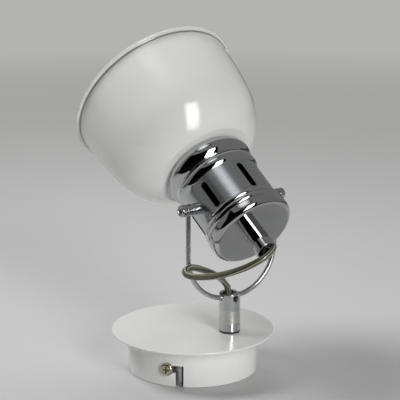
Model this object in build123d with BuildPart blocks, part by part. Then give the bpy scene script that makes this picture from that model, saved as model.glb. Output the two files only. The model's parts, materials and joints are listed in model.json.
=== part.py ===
from build123d import *

import os
from math import cos, pi, radians, sin, tan

# Pivoting spotlight wall light. The origin is the centre of the canopy's wall face, +Z points
# out of the wall and +X points to the swivel post. Millimetres.

os.makedirs("parts", exist_ok=True)

# ---- driving dimensions ---------------------------------------------------------------------
# canopy
disc_diameter = 100.0
disc_thickness = 1.2
cup_diameter = 80.0
cup_wall = 1.0
canopy_height = 25.0
slot_width = 5.0
branch_width = 4.6
side_screw_height = 11.0
side_screw_angle = -94.9
slot_from_screw_angle = 10.6
stud_x = -22.0
stud_diameter = 4.0
stud_length = 8.0
cup_round = 1.5
disc_round = 0.5

# wall bracket
strap_width = 16.0
strap_thickness = 1.5
ear_reach = 36.6
ear_height = 15.5
wall_screw_pitch = 25.0
wall_screw_hole = 4.5
cable_hole = 10.0
machine_screw = 4.0

# swivel
post_reach = 23.8
post_diameter = 13.0
post_top = 50.0
post_bore = 8.4
washer_thickness = 1.2
nipple_diameter = 10.0
nipple_bore = 7.0
running_clearance = 0.05

# yoke and pivots
tilt_azimuth = 52.65
yoke_shift = 1.5
pivot_height = 106.6
yoke_wire = 3.0
yoke_half_width = 32.5
yoke_floor = 47.2
yoke_bend = 29.3
knob_diameter = 7.2
eye_half_length = 2.2
screw_head_length = 3.7
pivot_screw = 4.0

# head, measured along its axis from the pivot, + towards the mouth
head_elevation = 32.24
body_diameter = 50.0
body_wall = 0.8
seam_station = -19.2
cap_station = -26.3
cap_diameter = 53.2
cap_corner = 3.5
body_front = 32.4
spigot_end = 37.5
tube_end = -41.5
tube_diameter = 13.0
slot_count = 6
vent_length = 20.0
vent_width = 4.0
vent_station = -1.2

# bell shade, radius and station
rim_radius = 55.5
rim_station = 99.7
shade_wall = 1.0
shoulder = [(31.2, 32.4), (42.9, 44.0), (50.0, 62.0)]
skirt_end = (53.2, 96.4)

# flex cord
cord_diameter = 4.0
core_diameter = 1.6

# Corners of the cord's route, from the grip in the rear tube to the post's mouth.
cord_route = [
    (47.7, -14.9, 88.9),
    (51.3, -17.6, 86.1),
    (57.1, -18.5, 82.9),
    (58.5, -27.1, 83.5),
    (52.6, -30.8, 81.4),
    (43.0, -32.7, 76.3),
    (30.5, -35.1, 71.7),
    (18.2, -37.5, 69.7),
    (8.8, -38.6, 69.9),
    (5.4, -33.9, 71.8),
    (8.3, -28.6, 73.1),
    (17.2, -22.9, 69.2),
    (21.7, -13.2, 62.9),
    (21.8, -2.5, 56.0),
    (22.5, 1.0, 52.4),
    (22.5, 1.0, 48.7),
]

# ---- frames ----------------------------------------------------------------------------------
tilt_dir = Vector(cos(radians(tilt_azimuth)), sin(radians(tilt_azimuth)), 0)
facing_dir = Vector(-sin(radians(tilt_azimuth)), cos(radians(tilt_azimuth)), 0)
up_dir = Vector(0, 0, 1)
head_dir = facing_dir * cos(radians(head_elevation)) + up_dir * sin(radians(head_elevation))

post_foot = Vector(post_reach, 0, 0)
yoke_middle = post_foot + tilt_dir * yoke_shift
pivot = yoke_middle + up_dir * pivot_height

head_axis = Axis(pivot, head_dir)
yoke_section = Plane(origin=yoke_middle, x_dir=tilt_dir, z_dir=tilt_dir.cross(up_dir))
head_section = Plane(origin=pivot, x_dir=tilt_dir, z_dir=tilt_dir.cross(head_dir))


def radial_plane(azimuth, height, distance):
    """Plane that faces away from the canopy's axis, with its X along the wall."""
    outward = Vector(cos(radians(azimuth)), sin(radians(azimuth)), 0)
    along = Vector(-sin(radians(azimuth)), cos(radians(azimuth)), 0)
    return Plane(origin=outward * distance + up_dir * height, x_dir=along, z_dir=outward)


def post_plane(height):
    """Plane square to the post at a height, with its X along the tilt axis."""
    return Plane(origin=post_foot + up_dir * height, x_dir=tilt_dir, z_dir=up_dir)


def head_plane(station):
    """Plane square to the head's axis at a station."""
    return Plane(origin=pivot + head_dir * station, x_dir=tilt_dir, z_dir=head_dir)


def pivot_plane(reach):
    """Plane square to the tilt axis at a reach from the head's middle, facing outwards."""
    outward = tilt_dir if reach > 0 else tilt_dir * -1
    return Plane(origin=pivot + tilt_dir * reach, x_dir=facing_dir, z_dir=outward)


def save(builder, name):
    """Label a finished sub-part and write it."""
    builder.part.label = name
    export_step(builder.part, f"parts/{name}.step")


# ---- canopy ----------------------------------------------------------------------------------
cup_top = canopy_height - disc_thickness
cup_ceiling = cup_top - cup_wall
cup_radius = cup_diameter / 2
swivel_hole = nipple_diameter / 2 + running_clearance
slot_offset = cup_radius * sin(radians(slot_from_screw_angle))
slot_top = side_screw_height + branch_width / 2
nut_flats = 7.0
nut_height = 3.2

with BuildPart() as canopy_cup:
    with BuildSketch(Plane.XY):
        Circle(cup_radius)
    extrude(amount=cup_top)
    fillet(canopy_cup.edges().group_by(Axis.Z)[-1], radius=cup_round)
    with BuildSketch(Plane.XY):
        Circle(cup_radius - cup_wall)
    extrude(amount=cup_ceiling, mode=Mode.SUBTRACT)
    with BuildSketch(Plane.XY.offset(cup_ceiling)):
        with Locations((post_reach, 0)):
            Circle(swivel_hole)
        with Locations((stud_x, 0)):
            Circle(stud_diameter / 2 + 0.2)
    extrude(amount=cup_wall, mode=Mode.SUBTRACT)
    for azimuth in (side_screw_angle, side_screw_angle + 180):
        with BuildSketch(radial_plane(azimuth, 0, 0)):
            with Locations((slot_offset, slot_top / 2)):
                Rectangle(slot_width, slot_top)
            with Locations((slot_offset / 2, side_screw_height)):
                SlotCenterToCenter(slot_offset, branch_width)
        extrude(amount=cup_radius, mode=Mode.SUBTRACT)
save(canopy_cup, "canopy_cup")

with BuildPart() as canopy_disc:
    with BuildSketch(Plane.XY.offset(cup_top)):
        Circle(disc_diameter / 2)
    extrude(amount=disc_thickness)
    fillet(canopy_disc.edges(), radius=disc_round)
    with BuildSketch(Plane.XY.offset(cup_top)):
        with Locations((post_reach, 0)):
            Circle(swivel_hole)
    extrude(amount=disc_thickness, mode=Mode.SUBTRACT)
    with BuildSketch(Plane.XY.offset(cup_top)):
        with Locations((stud_x, 0)):
            Circle(stud_diameter / 2)
    extrude(amount=-stud_length)
save(canopy_disc, "canopy_disc")

with BuildPart() as stud_nut:
    with BuildSketch(Plane.XY.offset(cup_ceiling)):
        with Locations((stud_x, 0)):
            RegularPolygon(nut_flats / 2, 6, major_radius=False)
            Circle(stud_diameter / 2, mode=Mode.SUBTRACT)
    extrude(amount=-nut_height)
save(stud_nut, "stud_nut")

# ---- wall bracket ----------------------------------------------------------------------------
strap_azimuth = side_screw_angle + 180
strap_dir = Vector(cos(radians(strap_azimuth)), sin(radians(strap_azimuth)), 0)
strap_side = Plane(origin=(0, 0, 0), x_dir=strap_dir, z_dir=strap_dir.cross(up_dir))
strap_face = Plane(origin=(0, 0, 0), x_dir=strap_dir, z_dir=up_dir)
ear_face = Plane(origin=(0, 0, 0), x_dir=up_dir.cross(strap_dir), z_dir=strap_dir)
screw_radius = machine_screw / 2
earth_place = -13.0
earth_head = 2.4
block_place = 12.5
block_length = 14.0
block_width = 17.0
block_height = 12.5
terminal_pitch = 8.0
terminal_radius = 1.8
terminal_depth = 7.0
terminal_screw = 5.0

with BuildPart() as wall_bracket:
    with BuildSketch(strap_side):
        with BuildLine():
            Polyline(
                (-ear_reach, ear_height),
                (-ear_reach, 0),
                (ear_reach, 0),
                (ear_reach, ear_height),
                (ear_reach - strap_thickness, ear_height),
                (ear_reach - strap_thickness, strap_thickness),
                (strap_thickness - ear_reach, strap_thickness),
                (strap_thickness - ear_reach, ear_height),
                close=True,
            )
        make_face()
    extrude(amount=strap_width / 2, both=True)
    with BuildSketch(strap_face):
        with Locations((wall_screw_pitch, 0), (-wall_screw_pitch, 0)):
            Circle(wall_screw_hole / 2)
        Circle(cable_hole / 2)
        with Locations((earth_place, 0)):
            Circle(screw_radius)
    extrude(amount=strap_thickness, mode=Mode.SUBTRACT)
    with BuildSketch(ear_face):
        with Locations((0, side_screw_height)):
            Circle(screw_radius)
    extrude(amount=ear_reach, both=True, mode=Mode.SUBTRACT)
save(wall_bracket, "wall_bracket")

with BuildPart() as earth_screw:
    with BuildSketch(strap_face.offset(strap_thickness)):
        with Locations((earth_place, 0)):
            Circle(0.9 * machine_screw)
    extrude(amount=earth_head)
    with BuildSketch(strap_face.offset(strap_thickness + earth_head)):
        with Locations((earth_place, 0)):
            Rectangle(1.25 * machine_screw, earth_head / 2)
    extrude(amount=-earth_head / 2, mode=Mode.SUBTRACT)
    with BuildSketch(strap_face.offset(strap_thickness)):
        with Locations((earth_place, 0)):
            Circle(screw_radius)
    extrude(amount=0.1 - strap_thickness)
save(earth_screw, "earth_screw")

with BuildPart() as terminal_block:
    with BuildSketch(strap_face.offset(strap_thickness)):
        with Locations((block_place, 0)):
            RectangleRounded(block_length, block_width, 1.0)
    extrude(amount=block_height)
    with BuildSketch(strap_face.offset(strap_thickness + block_height)):
        with Locations((block_place, terminal_pitch / 2), (block_place, -terminal_pitch / 2)):
            Circle(terminal_radius)
    extrude(amount=-terminal_depth, mode=Mode.SUBTRACT)
save(terminal_block, "terminal_block")

with BuildPart() as terminal_screws:
    for side in (terminal_pitch / 2, -terminal_pitch / 2):
        with BuildSketch(strap_face.offset(strap_thickness + block_height - terminal_depth)):
            with Locations((block_place, side)):
                Circle(terminal_radius)
        extrude(amount=terminal_screw)
        with BuildSketch(strap_face.offset(strap_thickness + block_height - terminal_depth + terminal_screw)):
            with Locations((block_place, side)):
                Rectangle(2 * terminal_radius + 0.4, 0.6)
        extrude(amount=-1.0, mode=Mode.SUBTRACT)
save(terminal_screws, "terminal_screws")


pan_height = 2.6
cross_length = 4.4
cross_width = 1.0
side_screw_length = 8.0


def make_side_screw(azimuth):
    """Pan-head machine screw that holds the cup to an ear of the bracket."""
    with BuildPart() as side_screw:
        with BuildSketch(radial_plane(azimuth, side_screw_height, cup_radius)):
            Circle(machine_screw)
        extrude(amount=pan_height)
        fillet(side_screw.faces().sort_by(SortBy.DISTANCE)[-1].edges(), radius=1.5)
        with BuildSketch(radial_plane(azimuth, side_screw_height, cup_radius + pan_height)):
            Rectangle(cross_length, cross_width)
            Rectangle(cross_width, cross_length)
        extrude(amount=-1.5, taper=12, mode=Mode.SUBTRACT)
        with BuildSketch(radial_plane(azimuth, side_screw_height, cup_radius)):
            Circle(screw_radius)
        extrude(amount=-side_screw_length)
    return side_screw


for name, azimuth in (("side_screw_1", side_screw_angle), ("side_screw_2", side_screw_angle + 180)):
    save(make_side_screw(azimuth), name)

# ---- swivel ----------------------------------------------------------------------------------
washer_top = canopy_height + washer_thickness
nipple_foot = 15.0
nipple_top = washer_top + 9.0
grub_radius = 2.0
grub_recess = 0.8
grub_socket = 1.8
notch_radius = yoke_wire / 2
washer_radius = 9.0
lock_nut_flats = 14.0
lock_nut_height = 4.0

with BuildPart() as swivel_post:
    with BuildSketch(post_plane(washer_top)):
        Circle(post_diameter / 2)
    extrude(amount=post_top - washer_top)
    chamfer(swivel_post.edges().group_by(Axis.Z)[-1], length=0.4)
    with BuildSketch(post_plane(washer_top)):
        Circle(nipple_diameter / 2)
    extrude(amount=nipple_top - washer_top, mode=Mode.SUBTRACT)
    with BuildSketch(post_plane(washer_top)):
        Circle(post_bore / 2)
    extrude(amount=post_top - washer_top, mode=Mode.SUBTRACT)
    with BuildSketch(Plane(origin=post_foot, x_dir=facing_dir, z_dir=tilt_dir)):
        with Locations((0, yoke_floor)):
            Circle(notch_radius)
        with Locations((0, post_top)):
            Rectangle(yoke_wire, 2 * (post_top - yoke_floor))
    extrude(amount=post_diameter, both=True, mode=Mode.SUBTRACT)
    with BuildSketch(Plane(origin=post_foot + up_dir * yoke_floor, x_dir=tilt_dir, z_dir=facing_dir * -1)):
        Circle(grub_radius)
    extrude(amount=post_diameter, mode=Mode.SUBTRACT)
save(swivel_post, "swivel_post")

grub_face = Plane(
    origin=post_foot + up_dir * yoke_floor - facing_dir * (post_diameter / 2 - grub_recess),
    x_dir=tilt_dir,
    z_dir=facing_dir,
)
with BuildPart() as grub_screw:
    with BuildSketch(grub_face):
        Circle(grub_radius)
    extrude(amount=post_diameter / 2 - grub_recess - notch_radius)
    with BuildSketch(grub_face):
        RegularPolygon(grub_radius / 2, 6, major_radius=False)
    extrude(amount=grub_socket, mode=Mode.SUBTRACT)
save(grub_screw, "grub_screw")

with BuildPart() as foot_washer:
    with BuildSketch(post_plane(canopy_height)):
        Circle(post_diameter / 2 - 0.2)
        Circle(nipple_diameter / 2, mode=Mode.SUBTRACT)
    extrude(amount=washer_thickness)
save(foot_washer, "foot_washer")

with BuildPart() as threaded_nipple:
    with BuildSketch(post_plane(nipple_foot)):
        Circle(nipple_diameter / 2)
        Circle(nipple_bore / 2, mode=Mode.SUBTRACT)
    extrude(amount=nipple_top - nipple_foot)
save(threaded_nipple, "threaded_nipple")

with BuildPart() as inner_washer:
    with BuildSketch(post_plane(cup_ceiling)):
        Circle(washer_radius)
        Circle(nipple_diameter / 2, mode=Mode.SUBTRACT)
    extrude(amount=-washer_thickness)
save(inner_washer, "inner_washer")

with BuildPart() as lock_nut:
    with BuildSketch(post_plane(cup_ceiling - washer_thickness)):
        RegularPolygon(lock_nut_flats / 2, 6, major_radius=False)
        Circle(nipple_diameter / 2, mode=Mode.SUBTRACT)
    extrude(amount=-lock_nut_height)
save(lock_nut, "lock_nut")

# ---- yoke ------------------------------------------------------------------------------------
wire_end = pivot_height - 2.3

with BuildPart() as yoke:
    with BuildLine(yoke_section) as yoke_path:
        FilletPolyline(
            (-yoke_half_width, wire_end),
            (-yoke_half_width, yoke_floor),
            (yoke_half_width, yoke_floor),
            (yoke_half_width, wire_end),
            radius=yoke_bend,
        )
    with BuildSketch(Plane(origin=yoke_path.line @ 0, z_dir=yoke_path.line % 0)):
        Circle(yoke_wire / 2)
    sweep()
save(yoke, "yoke_wire")

# ---- pivots ----------------------------------------------------------------------------------
knob_radius = knob_diameter / 2
pivot_hole = pivot_screw + 0.2
eye_inner = yoke_half_width - eye_half_length
eye_outer = yoke_half_width + eye_half_length
head_underside = eye_outer + running_clearance
spacer_end = eye_inner - running_clearance
body_radius = body_diameter / 2
nut_seat = body_radius - body_wall - 0.4
pivot_nut_height = 3.0
socket_dish = 2.3
socket_depth = 2.0
dish_depth = 0.5


def make_eye_bush(side):
    """Bush at the end of the yoke wire, which turns on the pivot screw."""
    with BuildPart() as eye_bush:
        with BuildSketch(pivot_plane(side * eye_inner)):
            Circle(knob_radius)
            Circle(pivot_screw / 2 + running_clearance, mode=Mode.SUBTRACT)
        extrude(amount=2 * eye_half_length)
        chamfer(eye_bush.edges().filter_by(GeomType.CIRCLE).sort_by(SortBy.RADIUS)[-2:], length=0.2)
        with BuildSketch(Plane(origin=yoke_middle + tilt_dir * side * yoke_half_width, z_dir=up_dir)):
            Circle(yoke_wire / 2)
        extrude(amount=wire_end, mode=Mode.SUBTRACT)
    return eye_bush


def make_spacer(side):
    """Spacer between the eye bush and the round wall of the lamp body."""
    with BuildPart() as spacer:
        with BuildSketch(pivot_plane(side * (body_radius - 1))):
            Circle(knob_radius)
            Circle(pivot_hole / 2, mode=Mode.SUBTRACT)
        extrude(amount=spacer_end - body_radius + 1)
        with BuildSketch(head_plane(-2 * knob_radius)):
            Circle(body_radius)
        extrude(amount=4 * knob_radius, mode=Mode.SUBTRACT)
    return spacer


def make_pivot_screw(side):
    """Round-headed socket screw on which the head tilts."""
    with BuildPart() as screw:
        with BuildSketch(pivot_plane(side * head_underside)):
            Circle(knob_radius)
        extrude(amount=screw_head_length)
        fillet(screw.edges().sort_by(lambda edge: (edge.center() - pivot).length)[-1], radius=0.7)
        with BuildSketch(pivot_plane(side * (head_underside + screw_head_length))):
            Circle(socket_dish)
        extrude(amount=-dish_depth, mode=Mode.SUBTRACT)
        with BuildSketch(pivot_plane(side * (head_underside + screw_head_length - dish_depth))):
            RegularPolygon(socket_dish - 0.8, 6, major_radius=False)
        extrude(amount=-socket_depth, mode=Mode.SUBTRACT)
        with BuildSketch(pivot_plane(side * head_underside)):
            Circle(pivot_screw / 2)
        extrude(amount=nut_seat - head_underside - pivot_nut_height - 0.6)
    return screw


def make_pivot_nut(side):
    """Nut inside the body; its corners bear on the round wall."""
    with BuildPart() as nut:
        with BuildSketch(pivot_plane(side * nut_seat)):
            RegularPolygon(nut_flats / 2, 6, major_radius=False)
            Circle(pivot_screw / 2, mode=Mode.SUBTRACT)
        extrude(amount=-pivot_nut_height)
    return nut


for name, side in (("left", -1), ("right", 1)):
    save(make_eye_bush(side), f"eye_bush_{name}")
    save(make_spacer(side), f"pivot_spacer_{name}")
    save(make_pivot_screw(side), f"pivot_screw_{name}")
    save(make_pivot_nut(side), f"pivot_nut_{name}")

# ---- lamp body -------------------------------------------------------------------------------
# Beads of the body as start, end, root radius and height.
body_beads = [
    (seam_station, -15.2, 25.2, 1.3),
    (-15.2, -11.9, 25.0, 0.9),
    (12.0, 20.5, 25.0, 1.7),
    (20.5, body_front, 25.2, 2.6),
]
spigot_radius = 24.6
first_vent = 30.0
cut_depth = 5.0

with BuildPart() as holder_body:
    for inset, mode in ((0, Mode.ADD), (body_wall, Mode.SUBTRACT)):
        with BuildSketch(head_section):
            with BuildLine():
                edge = (0, seam_station)
                for start, end, root, height in body_beads:
                    foot = (root - inset, start)
                    crown = (root + height - inset, (start + end) / 2)
                    heel = (root - inset, end)
                    if edge != foot:
                        Line(edge, foot)
                    ThreePointArc(foot, crown, heel)
                    edge = heel
                shelf = (spigot_radius - inset, body_front)
                nose = (spigot_radius - inset, spigot_end)
                Polyline(edge, shelf, nose, (0, spigot_end), (0, seam_station))
            make_face()
        revolve(axis=head_axis, mode=mode)
    for index in range(slot_count):
        turn = first_vent + index * 360 / slot_count
        outward = tilt_dir.rotate(Axis((0, 0, 0), head_dir), turn)
        vent_face = Plane(origin=pivot, x_dir=head_dir, z_dir=outward)
        with BuildSketch(vent_face.offset(body_radius - cut_depth)):
            with Locations((vent_station, 0)):
                SlotOverall(vent_length, vent_width)
        extrude(amount=2 * cut_depth, mode=Mode.SUBTRACT)
    with BuildSketch(Plane(origin=pivot, x_dir=facing_dir, z_dir=tilt_dir)):
        Circle(pivot_hole / 2)
    extrude(amount=body_diameter, both=True, mode=Mode.SUBTRACT)
save(holder_body, "holder_body")

cap_radius = cap_diameter / 2
cap_wall = 1.0
cap_rim_round = 0.9
cap_lip = 3.0

with BuildPart() as rear_cap:
    with BuildSketch(head_plane(cap_station)):
        Circle(cap_radius)
    extrude(amount=seam_station - cap_station)
    fillet(rear_cap.edges().sort_by(head_axis)[0], radius=cap_corner)
    fillet(rear_cap.edges().sort_by(head_axis)[-1], radius=cap_rim_round)
    with BuildSketch(head_plane(cap_station + cap_wall)):
        Circle(body_radius - body_wall - cap_wall)
    extrude(amount=seam_station - cap_station, mode=Mode.SUBTRACT)
    with BuildSketch(head_plane(seam_station)):
        Circle(body_radius - body_wall)
        Circle(body_radius - body_wall - cap_wall, mode=Mode.SUBTRACT)
    extrude(amount=cap_lip)
    with BuildSketch(head_plane(cap_station)):
        Circle(nipple_diameter / 2)
    extrude(amount=cap_wall, mode=Mode.SUBTRACT)
save(rear_cap, "rear_cap")

# ---- rear cable tube -------------------------------------------------------------------------
tube_bore = 11.4
grip_face = -33.0
grip_length = 5.0
grip_offset = 1.2
tube_tail = -14.5
tube_floor = 1.5
tube_nut_height = 3.0
holder_foot = -21.0
lead_pitch = 1.7

with BuildPart() as rear_tube:
    with BuildSketch(head_plane(tube_end)):
        Circle(tube_diameter / 2)
        Circle(tube_bore / 2, mode=Mode.SUBTRACT)
    extrude(amount=cap_station - tube_end - tube_floor)
    with BuildSketch(head_plane(cap_station - tube_floor)):
        Circle(tube_diameter / 2)
    extrude(amount=tube_floor)
    with BuildSketch(head_plane(cap_station)):
        Circle(nipple_diameter / 2)
    extrude(amount=tube_tail - cap_station)
    with BuildSketch(head_plane(cap_station - tube_floor)):
        Circle(nipple_bore / 2)
    extrude(amount=tube_tail - cap_station + tube_floor, mode=Mode.SUBTRACT)
    chamfer(rear_tube.edges().sort_by(head_axis)[:2], length=0.3)
save(rear_tube, "rear_tube")

with BuildPart() as tube_nut:
    with BuildSketch(head_plane(cap_station + cap_wall)):
        RegularPolygon(lock_nut_flats / 2, 6, major_radius=False)
        Circle(nipple_diameter / 2, mode=Mode.SUBTRACT)
    extrude(amount=tube_nut_height)
save(tube_nut, "tube_nut")

with BuildPart() as cord_grip:
    with BuildSketch(head_plane(grip_face)):
        Circle(tube_bore / 2)
        with Locations((grip_offset, 0)):
            Circle(core_diameter / 2 + 0.9, mode=Mode.SUBTRACT)
    extrude(amount=grip_length)
save(cord_grip, "cord_grip")

with BuildPart() as holder_leads:
    for side in (lead_pitch / 2, -lead_pitch / 2):
        with BuildSketch(head_plane(grip_face)):
            with Locations((grip_offset, side)):
                Circle(core_diameter / 2)
        extrude(amount=tube_tail - grip_face)
save(holder_leads, "holder_leads")

# ---- lamp holder -----------------------------------------------------------------------------
shell_radius = 14.0
shell_wall = 1.5
shell_floor = 6.0
base_height = 6.0
sleeve_radius = 7.6
lamp_thread_radius = 6.95
sleeve_start = 0.0
sleeve_end = 20.0
holder_mouth = 22.0
carrier_depth = 4.0
carrier_height = 3.0
contact_radius = 2.6
contact_height = 0.9

with BuildPart() as holder_base:
    with BuildSketch(head_plane(holder_foot)):
        Circle(shell_radius - shell_wall)
        Circle(nipple_diameter / 2, mode=Mode.SUBTRACT)
    extrude(amount=base_height)
save(holder_base, "holder_base")

with BuildPart() as holder_shell:
    with BuildSketch(head_plane(holder_foot)):
        Circle(shell_radius)
    extrude(amount=holder_mouth - holder_foot)
    fillet(holder_shell.edges().sort_by(head_axis)[-1], radius=1.0)
    with BuildSketch(head_plane(holder_foot)):
        Circle(shell_radius - shell_wall)
    extrude(amount=sleeve_start - shell_floor - holder_foot, mode=Mode.SUBTRACT)
    with BuildSketch(head_plane(holder_foot)):
        Circle(sleeve_radius)
    extrude(amount=holder_mouth - holder_foot, mode=Mode.SUBTRACT)
save(holder_shell, "holder_shell")

with BuildPart() as thread_sleeve:
    with BuildSketch(head_plane(sleeve_start)):
        Circle(sleeve_radius)
        Circle(lamp_thread_radius, mode=Mode.SUBTRACT)
    extrude(amount=sleeve_end - sleeve_start)
save(thread_sleeve, "thread_sleeve")

with BuildPart() as contact_carrier:
    with BuildSketch(head_plane(sleeve_start - carrier_depth)):
        Circle(sleeve_radius)
    extrude(amount=carrier_height)
save(contact_carrier, "contact_carrier")

with BuildPart() as centre_contact:
    with BuildSketch(head_plane(sleeve_start - carrier_depth + carrier_height)):
        Circle(contact_radius)
    extrude(amount=contact_height)
    fillet(centre_contact.edges().sort_by(head_axis)[-1], radius=0.6)
save(centre_contact, "centre_contact")

# ---- shade -----------------------------------------------------------------------------------
neck_radius = spigot_radius + 0.1
lip_radius = 0.9
flare_end = (54.3, 98.6)
ring_radius = 29.0
ring_height = 3.5

with BuildPart() as shade:
    with BuildSketch(head_section):
        with BuildLine() as bell:
            neck = Line((neck_radius, shoulder[0][1]), shoulder[0])
            dome = ThreePointArc(*shoulder)
            skirt = TangentArc(dome @ 1, skirt_end, tangent=dome % 1)
            flare = TangentArc(skirt @ 1, flare_end, tangent=skirt % 1)
            offset(amount=shade_wall, side=Side.LEFT)
        make_face()
        with Locations((rim_radius - lip_radius, rim_station - lip_radius)):
            Circle(lip_radius)
    revolve(axis=head_axis)
save(shade, "bell_shade")

with BuildPart() as shade_ring:
    with BuildSketch(head_plane(body_front + shade_wall)):
        Circle(ring_radius)
        Circle(spigot_radius, mode=Mode.SUBTRACT)
    extrude(amount=ring_height)
save(shade_ring, "shade_ring")

# ---- cords -----------------------------------------------------------------------------------


def corner_radii(points):
    """Largest arcs that the two runs at each corner leave room for."""
    radii = []
    for before, corner, after in zip(points, points[1:], points[2:]):
        arriving = Vector(*corner) - Vector(*before)
        leaving = Vector(*after) - Vector(*corner)
        half_turn = radians(arriving.get_angle(leaving)) / 2
        radii.append(0.45 * min(arriving.length, leaving.length) / tan(half_turn))
    return radii


def make_cord(points, diameter, name):
    """Tube along straight runs that tangent arcs join, with its volume set against its length."""
    radii = corner_radii(points)
    with BuildPart() as cord:
        with BuildLine() as path:
            FilletPolyline(*points, radius=radii)
        with BuildSketch(Plane(origin=path.line @ 0, z_dir=path.line % 0)):
            Circle(diameter / 2)
        sweep()
    length = path.wires()[0].length
    expected = pi * diameter**2 / 4 * length
    print(name, "length", round(length, 1), "volume ratio", round(cord.part.volume / expected, 4))
    print(name, "radii", [round(radius, 1) for radius in radii])
    return cord


save(make_cord(cord_route, cord_diameter, "flex_cord"), "flex_cord")

# Two cores pass the yoke wire on the side away from the grub screw, then draw in to the axis.
core_pass = 2.7
core_pitch = 0.9
core_route = [(core_pass, cord_route[-1][2]), (core_pass, 45.0), (1.1, 42.0), (1.1, 39.5)]

for name, side in (("core_1", -core_pitch), ("core_2", core_pitch)):
    core_points = [
        tuple(post_foot + tilt_dir * side + facing_dir * across + up_dir * height)
        for across, height in core_route
    ]
    save(make_cord(core_points, core_diameter, name), name)

# Inner flex from the post down through the nipple to the terminal block.
block_side = strap_dir * block_place + strap_dir.cross(up_dir) * (block_width / 2)
flex_height = 8.0
tail_points = [
    (post_reach, 0, core_route[-1][1]),
    (post_reach, 0, flex_height),
    tuple(block_side + strap_dir.cross(up_dir) * 8 + up_dir * flex_height),
    tuple(block_side + up_dir * flex_height),
]
save(make_cord(tail_points, cord_diameter, "inner_flex"), "inner_flex")
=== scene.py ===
# %% [markdown]
# # A pivoting spotlight wall light
#
# The light is a white bell shade on a chromed, ventilated lamp body. The body tilts in a bent
# wire yoke, the yoke stands in a post, and the post turns on a round white canopy that is
# screwed to the wall. Here it stands on its canopy, as on a photographer's table.
#
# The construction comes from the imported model, which is loaded first and stays where it is.
# Every piece made below takes its place from that frame.

# %% Load the frame
import json
from math import ceil, cos, hypot, pi, radians, sin, tau

import bmesh
import bpy
from mathutils import Matrix, Vector


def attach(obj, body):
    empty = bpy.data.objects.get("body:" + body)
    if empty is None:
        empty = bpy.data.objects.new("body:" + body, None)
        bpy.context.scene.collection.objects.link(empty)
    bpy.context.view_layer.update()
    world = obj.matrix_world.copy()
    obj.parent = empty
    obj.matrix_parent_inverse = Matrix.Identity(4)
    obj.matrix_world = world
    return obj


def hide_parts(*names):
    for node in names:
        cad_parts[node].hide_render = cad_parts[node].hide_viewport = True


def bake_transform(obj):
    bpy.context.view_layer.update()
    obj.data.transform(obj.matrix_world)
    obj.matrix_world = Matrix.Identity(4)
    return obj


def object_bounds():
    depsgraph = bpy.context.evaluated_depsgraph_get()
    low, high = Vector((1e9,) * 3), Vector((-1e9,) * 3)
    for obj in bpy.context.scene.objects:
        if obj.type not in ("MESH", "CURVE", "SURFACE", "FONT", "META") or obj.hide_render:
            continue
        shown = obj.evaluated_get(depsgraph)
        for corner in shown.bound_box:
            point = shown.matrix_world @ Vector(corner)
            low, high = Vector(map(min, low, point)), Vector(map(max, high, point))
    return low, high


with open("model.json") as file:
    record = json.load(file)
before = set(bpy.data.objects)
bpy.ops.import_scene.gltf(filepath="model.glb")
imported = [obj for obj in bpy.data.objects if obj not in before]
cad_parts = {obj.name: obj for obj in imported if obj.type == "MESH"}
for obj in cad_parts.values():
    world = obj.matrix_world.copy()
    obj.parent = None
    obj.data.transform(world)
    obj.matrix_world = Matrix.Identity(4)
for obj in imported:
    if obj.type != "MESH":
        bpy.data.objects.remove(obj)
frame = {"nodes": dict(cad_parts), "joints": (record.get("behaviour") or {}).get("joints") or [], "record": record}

cad_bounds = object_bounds()
corners = [tuple(round(v, 3) for v in corner) for corner in cad_bounds]
print("packed model:", len(frame["nodes"]), "nodes,", corners)

# %% [markdown]
# The two hinges and the lamp socket give every direction that the head needs: the post's foot,
# the pivot, the axis on which the head tilts and the axis along which it points. Outlines are
# written in millimetres, as a maker reads them, and `MM` turns them into metres.

# %% Named directions
MM = 0.001
joints = {joint["name"]: joint for joint in frame["joints"]}
mounts = {mount["name"]: mount for mount in frame["record"]["mounts"]}

x_dir, y_dir, up_dir = Vector((1, 0, 0)), Vector((0, 1, 0)), Vector((0, 0, 1))
post_foot = Vector(joints["swivel_pan"]["pos_m"])
pivot = Vector(joints["head_tilt"]["pos_m"])
tilt_dir = Vector(joints["head_tilt"]["axis"]).normalized()
head_dir = Vector(mounts["lamp_socket"]["axis"]).normalized()
facing_dir = up_dir.cross(tilt_dir)
beside_dir = head_dir.cross(tilt_dir)


def linked(name, data):
    """A new object in the scene."""
    made = bpy.data.objects.new(name, data)
    bpy.context.scene.collection.objects.link(made)
    return made


def stand(origin, out, across):
    """Place of a piece whose own Z runs along out and whose own X runs along across."""
    out = out.normalized()
    across = (across - out * across.dot(out)).normalized()
    turn = Matrix((across, out.cross(across), out)).transposed()
    return Matrix.Translation(origin) @ turn.to_4x4()


head_place = stand(pivot, head_dir, tilt_dir)
post_place = stand(post_foot, up_dir, tilt_dir)
canopy_place = Matrix.Identity(4)
aim = tuple(round(v, 3) for v in head_dir)
print("pivot", tuple(round(v / MM, 1) for v in pivot), "mm, head points along", aim)

# %% [markdown]
# ## Camera
#
# The photograph looks down on the light from a little to its right, from far off through a
# long lens, so the ellipses stay nearly alike from front to back. The place and the lens were
# recovered from the outlines of the canopy, the yoke and the shade.

# %% Camera
camera_place = Vector((0.3476, -1.1076, 0.4102))
camera_target = Vector((0.00434, 0.00134, 0.10648))
camera_lens = 177.4

camera_data = bpy.data.cameras.new("camera")
camera_data.lens = camera_lens
camera_data.sensor_width = 36.0
camera = linked("camera", camera_data)
camera.location = camera_place
camera.rotation_euler = (camera_target - camera_place).to_track_quat("-Z", "Y").to_euler()
bpy.context.scene.camera = camera
bpy.context.scene.view_settings.view_transform = "Standard"
print("camera", round((camera_target - camera_place).length, 3), "m from the light")

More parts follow.
